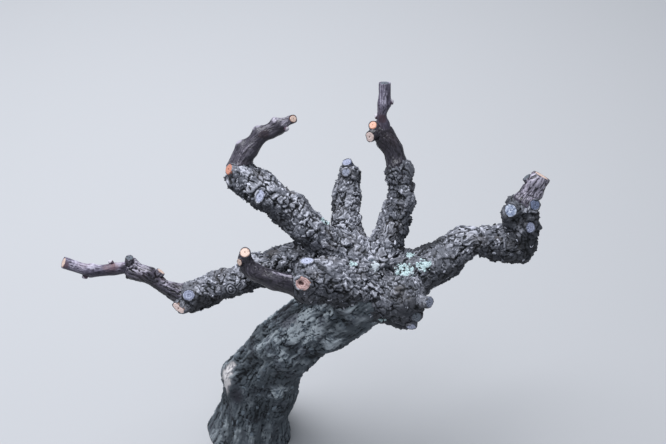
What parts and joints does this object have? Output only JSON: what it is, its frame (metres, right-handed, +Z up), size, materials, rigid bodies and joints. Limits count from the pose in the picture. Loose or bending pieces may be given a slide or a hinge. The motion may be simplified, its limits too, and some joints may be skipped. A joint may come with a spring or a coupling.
{
  "type": "grapevine",
  "caption": "Old leaning grapevine, free-standing and pruned bare for winter, with a knotty head, gnarled arms, short spurs and canes",
  "frame": {"origin": "the middle of the flat cut under the trunk, at ground level, at the mount named ground", "axes": "+Z points straight up out of level ground; +Y points away from the picture's viewer, and +X to the viewer's right, the way the trunk leans"},
  "size_m": [0.451, 0.1654, 0.4287],
  "materials": {
    "trunk_bark": "dark, rough, weathered trunk bark with pale grey patches",
    "arm_bark": "rough flaking grey bark in small plates with near-black cracks",
    "spur_bark": "dark two-year wood with shredding lengthwise strips",
    "cane_bark": "smooth one-year cane, lilac grey above and dark below",
    "fresh_cut": "fresh pruning cut, cream to orange wood with a dark pith",
    "weathered_cut": "old pruning cut, silver-blue grey wood with radial cracks",
    "lichen": "crusty mint-green and whitish lichen",
    "bud": "brown woolly bud scales with a pale tip"
  },
  "bodies": {
    "root": {"trunk": "trunk_bark", "arm_left": "arm_bark", "spur_left": "spur_bark", "cane_left": "cane_bark", "arm_front": "arm_bark", "spur_front": "spur_bark", "arm_back_left": "arm_bark", "spur_back_left": "spur_bark", "arm_back": "arm_bark", "arm_back_right": "arm_bark", "spur_back_right": "spur_bark", "cane_back_right": "cane_bark", "arm_right": "arm_bark", "head_right": "arm_bark", "spur_right": "spur_bark", "head_front_right": "arm_bark"}
  },
  "joints": []
}
